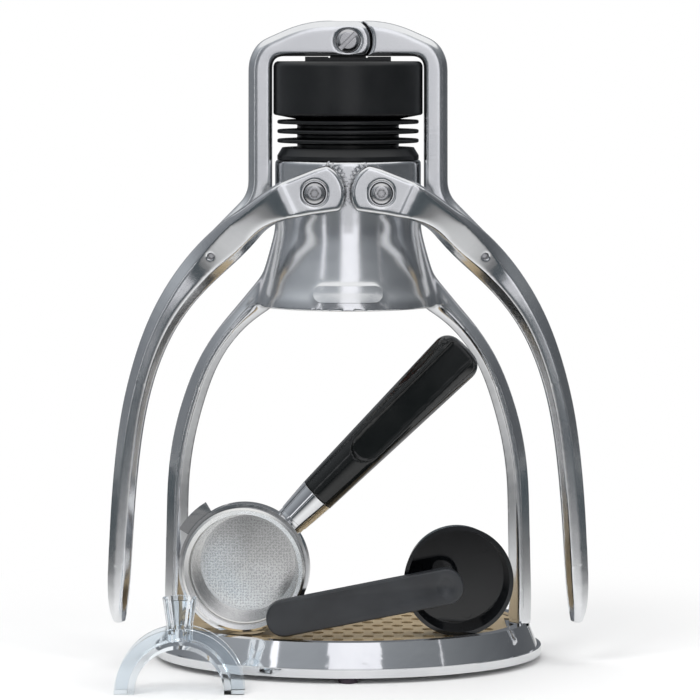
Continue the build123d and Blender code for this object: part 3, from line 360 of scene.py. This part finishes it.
def clear_plastic(name):
    made, tree, shader = start_material(name)
    shader.inputs["Transmission Weight"].default_value = 1.0
    shader.inputs["IOR"].default_value = 1.36
    marks = use_group(tree, moulded_grain, Grain_Scale=220.0, Mottle_Scale=80.0)
    dark, light = (0.84, 0.89, 0.93), (0.89, 0.93, 0.96)
    two_tone(tree, marks.outputs["Mottle"], dark, light, shader.inputs["Base Color"])
    wire(tree, spread(tree, marks.outputs["Mottle"], 0.02, 0.08), shader.inputs["Roughness"])
    relief(tree, shader, marks.outputs["Grain"], 0.05, 0.0006)
    return made


cast_aluminium = metal("cast_aluminium", (0.74, 0.75, 0.77), (0.82, 0.83, 0.84), (0.10, 0.24))
brushed_aluminium = metal(
    "brushed_aluminium", (0.74, 0.75, 0.77), (0.82, 0.83, 0.84), (0.13, 0.27), stretch=(0.06, 1.0, 1.0),
    depth=0.05,
)
bright_chrome = metal(
    "bright_chrome", (0.72, 0.73, 0.75), (0.80, 0.81, 0.82), (0.03, 0.09), smears=32.0, depth=0.005,
    wave=0.00018,
)
spun_stainless = spun_basket("spun_stainless")
screen_steel = metal("screen_steel", (0.50, 0.50, 0.49), (0.60, 0.60, 0.58), (0.22, 0.34), lines=1600.0)
champagne_plate = metal(
    "champagne_plate", (0.66, 0.50, 0.29), (0.78, 0.62, 0.39), (0.34, 0.48), stretch=(0.08, 1.0, 1.0),
    depth=0.05, metallic=0.45,
)
screw_steel = metal("screw_steel", (0.48, 0.48, 0.49), (0.62, 0.62, 0.63), (0.18, 0.32), lines=1600.0)
brass = metal("brass", (0.60, 0.44, 0.20), (0.70, 0.53, 0.26), (0.20, 0.34))
cup_black = plastic("cup_black", (0.006, 0.007, 0.008), (0.012, 0.013, 0.014), (0.30, 0.42))
grip_black = plastic("grip_black", (0.004, 0.005, 0.005), (0.008, 0.009, 0.009), (0.08, 0.14), depth=0.0)
dish_black = plastic("dish_black", (0.005, 0.006, 0.007), (0.010, 0.011, 0.013), (0.05, 0.09), depth=0.004)
bar_black = plastic("bar_black", (0.020, 0.022, 0.025), (0.032, 0.035, 0.040), (0.30, 0.42), depth=0.10)
foot_rubber = plastic("foot_rubber", (0.022, 0.014, 0.022), (0.040, 0.026, 0.040), (0.60, 0.75), depth=0.2)
seal_silicone = plastic("seal_silicone", (0.30, 0.08, 0.05), (0.38, 0.11, 0.07), (0.45, 0.60))
clear_spout = clear_plastic("clear_spout")

finishes = {
    "base_casting": bright_chrome, "drip_grid": champagne_plate, "rubber_feet": foot_rubber,
    "leg_screws": screw_steel, "bell_casting": cast_aluminium, "brew_chamber": cup_black,
    "shower_screen": screen_steel, "screen_screw": screw_steel, "group_gasket": seal_silicone,
    "pivot_screws": screw_steel, "left_lever": cast_aluminium, "left_lever_bush": brass,
    "left_link_pin": screw_steel, "right_lever": cast_aluminium, "right_lever_bush": brass,
    "right_link_pin": screw_steel, "left_link": brushed_aluminium, "right_link": brushed_aluminium,
    "hinge_screw": screw_steel, "hinge_nut": screw_steel, "water_cup": cup_black, "piston_yoke": cup_black,
    "piston_stem": cup_black, "piston_head": cup_black, "piston_seal": seal_silicone,
    "check_valve": seal_silicone, "piston_rod": screw_steel, "portafilter_body": bright_chrome,
    "filter_basket": spun_stainless, "basket_spring": screw_steel, "handle_ferrule": bright_chrome,
    "handle_grip": grip_black, "handle_stud": screw_steel, "scoop_dish": dish_black, "scoop_bar": bar_black,
    "twin_spout": clear_spout,
}


# Pieces


def finish_piece(name, form, node):
    """A form as a visible piece with the finish and the body of a node."""
    mesh = to_mesh(form, name)
    piece = bpy.data.objects.new(name, mesh)
    scene.collection.objects.link(piece)
    mesh.materials.clear()
    mesh.materials.append(finishes[node])
    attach(piece, body_of[node])
    return piece


def merged_copy(node):
    """A node's triangles joined into one skin, as a bmesh."""
    form = bmesh.new()
    form.from_mesh(nodes[node].data)
    bmesh.ops.remove_doubles(form, verts=form.verts[:], dist=SAME_CORNER)
    for face in form.faces:
        face.smooth = True
        face.material_index = 0
    return form


def crease_sharp(form):
    for line in form.edges:
        line.smooth = len(line.link_faces) == 2 and line.calc_face_angle() < math.radians(SHARP_ANGLE)


def to_mesh(form, name):
    mesh = bpy.data.meshes.new(name)
    form.to_mesh(mesh)
    form.free()
    return mesh


def node_box(node):
    """A node's lowest and highest corner, and its middle."""
    low, high = (Vector(corner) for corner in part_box(node))
    return low, high, (low + high) / 2


def machined(node, edge):
    """A turned or milled piece: smooth between its edges, and the edges broken."""
    form = merged_copy(node)
    crease_sharp(form)
    piece = finish_piece(node + "_machined", form, node)
    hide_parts(node)
    bevel = piece.modifiers.new("broken_edges", "BEVEL")
    bevel.width = edge * MM
    bevel.segments = 2
    bevel.limit_method = "ANGLE"
    bevel.angle_limit = math.radians(SHARP_ANGLE)
    bevel.harden_normals = True


def settle(piece):
    """Applies a piece's modifiers, so that what follows works on the finished skin."""
    graph = bpy.context.evaluated_depsgraph_get()
    mesh = bpy.data.meshes.new_from_object(piece.evaluated_get(graph))
    piece.modifiers.clear()
    piece.data = mesh


def casting(node, grain, rounds):
    """A polished casting: edges rounded over and faces that run into each other without a line."""
    piece = finish_piece(node + "_cast", merged_copy(node), node)
    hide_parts(node)
    if node.endswith("lever"):
        cut_with(piece, gear_room(node.split("_")[0]), "DIFFERENCE")
    skin = piece.modifiers.new("even_skin", "REMESH")
    skin.mode = "VOXEL"
    skin.voxel_size = grain * MM
    skin.use_smooth_shade = True
    buff = piece.modifiers.new("buffed", "SMOOTH")
    buff.factor = BUFF_FACTOR
    buff.iterations = rounds
    settle(piece)
    return piece


def soften(piece, place, reach, rounds, lowest=0.0):
    """Blends a casting's faces further about a place and above a height, less and less towards its reach."""
    near = piece.vertex_groups.new(name="near")
    for corner in piece.data.vertices:
        share = 1.0 - (corner.co - Vector(place)).length / (reach * MM)
        if share > 0.0 and corner.co.z > lowest * MM:
            near.add([corner.index], min(1.0, 2.0 * share), "REPLACE")
    buff = piece.modifiers.new("softened", "SMOOTH")
    buff.vertex_group = near.name
    buff.factor = BUFF_FACTOR
    buff.iterations = rounds
    settle(piece)
    piece.vertex_groups.clear()


def cut_with(piece, form, operation):
    """Cuts a piece with a closed form, or keeps only what lies inside it."""
    tool = bpy.data.objects.new("cutter", to_mesh(form, "cutter"))
    scene.collection.objects.link(tool)
    cut = piece.modifiers.new("cut", "BOOLEAN")
    cut.operation = operation
    cut.object = tool
    cut.solver = "EXACT"
    bpy.context.view_layer.update()
    settle(piece)
    bpy.data.objects.remove(tool)


def drilled(piece, place, radius, reach):
    """Drills a hole from the front into a finished casting, its edge left crisp."""
    form = bmesh.new()
    bmesh.ops.create_cone(
        form, cap_ends=True, segments=32, radius1=radius * MM, radius2=radius * MM, depth=2 * reach * MM,
        matrix=Matrix.Translation(place) @ Matrix.Rotation(math.radians(90), 4, "X"),
    )
    cut_with(piece, form, "DIFFERENCE")


def crisp_cut(name, node, room):
    """What a node holds inside a room, its edges kept crisp beside the buffed casting."""
    piece = finish_piece(name, merged_copy(node), node)
    cut_with(piece, room, "INTERSECT")
    form = bmesh.new()
    form.from_mesh(piece.data)
    crease_sharp(form)
    form.to_mesh(piece.data)
    form.free()


def gear_room(side):
    """The room behind a lever's hub plate that holds its teeth, towards the other lever."""
    _, back, pivot = node_box(side + "_lever_bush")
    inward = 1.0 if side == "left" else -1.0
    size = Vector(GEAR_ROOM) * MM
    place = Vector((pivot.x + inward * GEAR_ROOM_INWARD * MM, back.y - GEAR_ROOM_FORWARD * MM, pivot.z))
    form = bmesh.new()
    bmesh.ops.create_cube(form, size=1.0, matrix=Matrix.Translation(place) @ Matrix.Diagonal((*size, 1.0)))
    return form


def plate_room(axis_depth):
    """A bar with round ends through the raised bare plate low on the bell's front."""
    round_end = PLATE_HEIGHT / 2
    half_run = PLATE_LENGTH / 2 - round_end
    form = bmesh.new()
    bmesh.ops.create_circle(form, cap_ends=True, segments=48, radius=round_end * MM)
    for corner in form.verts:
        corner.co.x += math.copysign(half_run * MM, corner.co.x)
    upright = Matrix.Rotation(math.radians(90), 3, "X")
    start = (0.0, axis_depth - PLATE_BACK * MM, PLATE_MIDDLE * MM)
    bmesh.ops.rotate(form, cent=(0, 0, 0), matrix=upright, verts=form.verts[:])
    bmesh.ops.translate(form, vec=start, verts=form.verts[:])
    front = bmesh.ops.extrude_face_region(form, geom=form.faces[:])["geom"]
    moved = [v for v in front if isinstance(v, bmesh.types.BMVert)]
    bmesh.ops.translate(form, vec=(0.0, -PLATE_REACH * MM, 0.0), verts=moved)
    bmesh.ops.recalc_face_normals(form, faces=form.faces[:])
    return form


def screw_seat(side):
    """The turned ring in a hub's recess that the pivot screw's head is sunk into."""
    front, _, pivot = node_box(side + "_lever_bush")
    form = bmesh.new()
    low, high = (front.y - height * MM for height in SEAT_HEIGHTS)
    corners = [(SEAT_RADII[0], low), (SEAT_RADII[1], low), (SEAT_RADII[1], high), (SEAT_RADII[0], high)]
    ring = [form.verts.new((pivot.x + radius * MM, depth, pivot.z)) for radius, depth in corners]
    edges = [form.edges.new((ring[k], ring[(k + 1) % 4])) for k in range(4)]
    bmesh.ops.spin(
        form, geom=ring + edges, cent=pivot, axis=(0, 1, 0), angle=math.radians(360), steps=64,
        use_merge=True,
    )
    bmesh.ops.remove_doubles(form, verts=form.verts[:], dist=SAME_CORNER)
    bmesh.ops.recalc_face_normals(form, faces=form.faces[:])
    for face in form.faces:
        face.smooth = True
    crease_sharp(form)
    finish_piece(side + "_screw_seat", form, side + "_lever")


for node, thing in nodes.items():
    thing.data.materials.clear()
    thing.data.materials.append(finishes[node])

# castings: the size of a face once remeshed, and the rounds of smoothing
castings = {
    "handle_grip": (0.45, 6), "left_lever": (0.5, 12), "right_lever": (0.5, 12), "left_link": (0.5, 60),
    "right_link": (0.5, 60), "bell_casting": (0.83, 8),
}
# edges that are rounded further than the rest
round_edges = {"water_cup": 0.8, "piston_stem": 0.6}
buffed = {}
for node in finishes:
    if node in castings:
        buffed[node] = casting(node, *castings[node])
    else:
        machined(node, round_edges.get(node, BROKEN_EDGE))

bell = buffed["bell_casting"]
axis_depth = node_box("water_cup")[2].y
crisp_cut("bell_plate", "bell_casting", plate_room(axis_depth))
plate_skin = (0.0, axis_depth - PLATE_SKIN_OUT * MM, (PLATE_MIDDLE - PLATE_SKIN_DROP) * MM)
soften(bell, plate_skin, *PLATE_SKIN_BLEND, lowest=MOUTH_EDGE)
for side, out in (("left", -1.0), ("right", 1.0)):
    crisp_cut(side + "_lever_teeth", side + "_lever", gear_room(side))
    screw_seat(side)
    lever = buffed[side + "_lever"]
    pivot = node_box(side + "_lever_bush")[2]
    soften(lever, pivot + Vector((out * HUB_TO_ARM[0], *HUB_TO_ARM[1:])) * MM, *HUB_BLEND)
    soften(bell, (out * SHOULDER_OUT * MM, axis_depth, SHOULDER_HEIGHT * MM), *SHOULDER_BLEND)
    pin_front, _, pin = node_box(side + "_link_pin")
    drilled(lever, (pin.x, pin_front.y, pin.z), SIGHT_RADIUS, SIGHT_REACH)


# Floor, light and camera


def stage_thing(name, form, material, only_mirrored):
    """A thing of the set. One that is only mirrored isn't seen by the camera or the shadows."""
    mesh = to_mesh(form, name)
    mesh.materials.append(material)
    thing = bpy.data.objects.new(name, mesh)
    scene.collection.objects.link(thing)
    if only_mirrored:
        thing.visible_camera = False
        thing.visible_diffuse = False
        thing.visible_shadow = False
        thing.visible_transmission = False


def studio_floor():
    """A round white table that keeps the shadow near the object and fades to plain white at its edge."""
    form = bmesh.new()
    bmesh.ops.create_circle(form, cap_ends=True, segments=96, radius=TABLE_RADIUS)
    made, tree, shader = start_material("studio_floor")
    shader.inputs["Roughness"].default_value = 0.55
    shader.inputs["Specular IOR Level"].default_value = 0.25
    glow = shader_node(tree, "ShaderNodeEmission", Color=(1.0, 1.0, 1.0, 1.0), Strength=1.0)
    where = tree.nodes.new("ShaderNodeTexCoord")
    away = distance(tree, where.outputs["Object"])
    fade = spread(tree, away, 0.0, 1.0, 0.13, 0.30)
    fade.node.interpolation_type = "SMOOTHSTEP"
    path = tree.nodes.new("ShaderNodeLightPath")
    # painted shade: for mirrors the table's colour darkens away from the middle, so metal mirrors a dimmer
    # table
    tone = tree.nodes.new("ShaderNodeMix")
    tone.data_type = "RGBA"
    tone.inputs["A"].default_value = (0.93, 0.93, 0.93, 1.0)
    wire(tree, spread(tree, away, 0.85, 0.16, 0.14, 0.40), tone.inputs["B"])
    wire(tree, path.outputs["Is Glossy Ray"], tone.inputs["Factor"])
    wire(tree, tone.outputs["Result"], shader.inputs["Base Color"])
    seen = maths(tree, "MAXIMUM", path.outputs["Is Camera Ray"], path.outputs["Is Transmission Ray"])
    mixed = tree.nodes.new("ShaderNodeMixShader")
    wire(tree, maths(tree, "MULTIPLY", seen, fade), mixed.inputs["Fac"])
    wire(tree, shader.outputs["BSDF"], mixed.inputs[1])
    wire(tree, glow.outputs["Emission"], mixed.inputs[2])
    wire(tree, mixed.outputs["Shader"], tree.nodes["Material Output"].inputs["Surface"])
    stage_thing("studio_floor", form, made, False)


def plain_glow(name, tone):
    made, tree, shader = start_material(name)
    tree.nodes.remove(shader)
    glow = shader_node(tree, "ShaderNodeEmission", Color=(*tone, 1.0), Strength=1.0)
    wire(tree, glow.outputs["Emission"], tree.nodes["Material Output"].inputs["Surface"])
    return made


def studio_card(name, place, turn, width, height, tone):
    """A card beside the set that bright metal mirrors."""
    form = bmesh.new()
    bmesh.ops.create_grid(form, x_segments=1, y_segments=1, size=0.5)
    bmesh.ops.scale(form, vec=(width, height, 1.0), verts=form.verts[:])
    upright = Matrix.Rotation(math.radians(90), 3, "X")
    turned = Matrix.Rotation(math.radians(turn), 3, "Z")
    bmesh.ops.rotate(form, cent=(0, 0, 0), matrix=turned @ upright, verts=form.verts[:])
    bmesh.ops.translate(form, vec=place, verts=form.verts[:])
    stage_thing(name, form, plain_glow(name, (tone, tone, tone * 1.04)), True)


def studio_ground():
    """The dark floor of the room beyond the table."""
    form = bmesh.new()
    bmesh.ops.create_circle(form, cap_ends=True, segments=48, radius=GROUND_RADIUS)
    bmesh.ops.translate(form, vec=(0.0, 0.0, -GROUND_DROP), verts=form.verts[:])
    stage_thing("studio_ground", form, plain_glow("studio_ground", (0.075, 0.09, 0.10)), True)


def studio_tent():
    """The dim room round the set, which only bright surfaces mirror."""
    form = bmesh.new()
    bmesh.ops.create_circle(form, segments=48, radius=TENT_RADIUS)
    wall = bmesh.ops.extrude_edge_only(form, edges=form.edges[:])
    risen = [v for v in wall["geom"] if isinstance(v, bmesh.types.BMVert)]
    bmesh.ops.translate(form, vec=(0.0, 0.0, TENT_HEIGHT), verts=risen)
    made, tree, shader = start_material("studio_tent")
    tree.nodes.remove(shader)
    where = tree.nodes.new("ShaderNodeTexCoord")
    parts = tree.nodes.new("ShaderNodeSeparateXYZ")
    wire(tree, where.outputs["Object"], parts.inputs["Vector"])
    tone = tree.nodes.new("ShaderNodeValToRGB")
    tone.color_ramp.elements[0].color = (0.13, 0.137, 0.145, 1.0)
    tone.color_ramp.elements[1].color = (0.36, 0.38, 0.40, 1.0)
    middle = tone.color_ramp.elements.new(0.3)
    middle.color = (0.13, 0.138, 0.15, 1.0)
    wire(tree, spread(tree, parts.outputs["Z"], 0.0, 1.0, 0.0, TENT_HEIGHT), tone.inputs["Fac"])
    glow = tree.nodes.new("ShaderNodeEmission")
    wire(tree, tone.outputs["Color"], glow.inputs["Color"])
    sideways = spread(tree, parts.outputs["X"], 1.7, 0.8, -TENT_RADIUS, TENT_RADIUS)
    wire(tree, sideways, glow.inputs["Strength"])
    wire(tree, glow.outputs["Emission"], tree.nodes["Material Output"].inputs["Surface"])
    stage_thing("studio_tent", form, made, True)


def studio_world():
    """White for the camera, mirrors and clear pieces, and dimmer as a light."""
    world = bpy.data.worlds.new("studio_world")
    world.use_nodes = True
    tree = world.node_tree
    sky = tree.nodes["Background"]
    sky.inputs["Color"].default_value = (1.0, 1.0, 1.0, 1.0)
    path = tree.nodes.new("ShaderNodeLightPath")
    seen = path.outputs["Is Camera Ray"]
    for label in ("Is Glossy Ray", "Is Transmission Ray"):
        seen = maths(tree, "MAXIMUM", seen, path.outputs[label])
    wire(tree, spread(tree, seen, 0.45, 1.0), sky.inputs["Strength"])
    scene.world = world


def studio_lamp(name, place, aim, size, power):
    lamp = bpy.data.lights.new(name, "AREA")
    lamp.shape = "RECTANGLE"
    lamp.size, lamp.size_y = size
    lamp.energy = power
    holder = bpy.data.objects.new(name, lamp)
    holder.location = place
    holder.rotation_euler = (Vector(aim) - Vector(place)).to_track_quat("-Z", "Y").to_euler()
    holder.visible_glossy = False
    scene.collection.objects.link(holder)


def studio_camera():
    """A level camera at the piston's height, its picture shifted down to the table."""
    camera = bpy.data.cameras.new("camera")
    camera.lens = 163.3
    camera.sensor_width = 36.0
    camera.shift_y = -0.4229
    holder = bpy.data.objects.new("camera", camera)
    holder.location = (0.0009, -1.43875, 0.275)
    holder.rotation_euler = (math.radians(90), 0.0, 0.0)
    scene.collection.objects.link(holder)
    scene.camera = holder


studio_floor()
studio_world()
studio_tent()
studio_ground()
# name, place, turn in degrees, width, height and tone. The bar dims the lower middle of the window behind it
cards = (
    ("window_middle", (0.12, -2.0, 0.64), 0, 0.95, 1.2, 1.12),
    ("window_bar", (0.02, -1.95, 0.24), 0, 0.5, 0.6, 0.72),
    ("window_left", (-1.23, -1.58, 0.7), 38, 0.55, 1.3, 1.4),
    ("window_middle_high", (0.115, -2.0, 1.56), 0, 0.95, 0.62, 1.12),
    ("window_left_high", (-1.44, -1.39, 1.56), 46, 0.5, 0.62, 1.2),
    ("window_right", (1.5, -1.3, 0.7), -49, 0.25, 1.2, 0.9),
    ("window_back_left", (-1.1, 1.9, 0.8), 150, 0.5, 1.2, 0.7),
    ("window_back_right", (1.1, 1.9, 0.8), -150, 0.5, 1.2, 0.7),
)
for card in cards:
    studio_card(*card)
# name, place, aim, size in metres and power in watts
lamps = (
    ("key_lamp", (-0.9, -1.0, 1.5), (0, 0, 0.12), (0.9, 0.9), 16.0),
    ("fill_lamp", (1.1, -0.8, 1.1), (0, 0, 0.12), (0.7, 0.9), 7.0),
    ("top_lamp", (0.0, 0.2, 1.7), (0, 0, 0.1), (1.2, 0.9), 12.0),
)
for lamp in lamps:
    studio_lamp(*lamp)
studio_camera()
scene.view_settings.view_transform = "Standard"
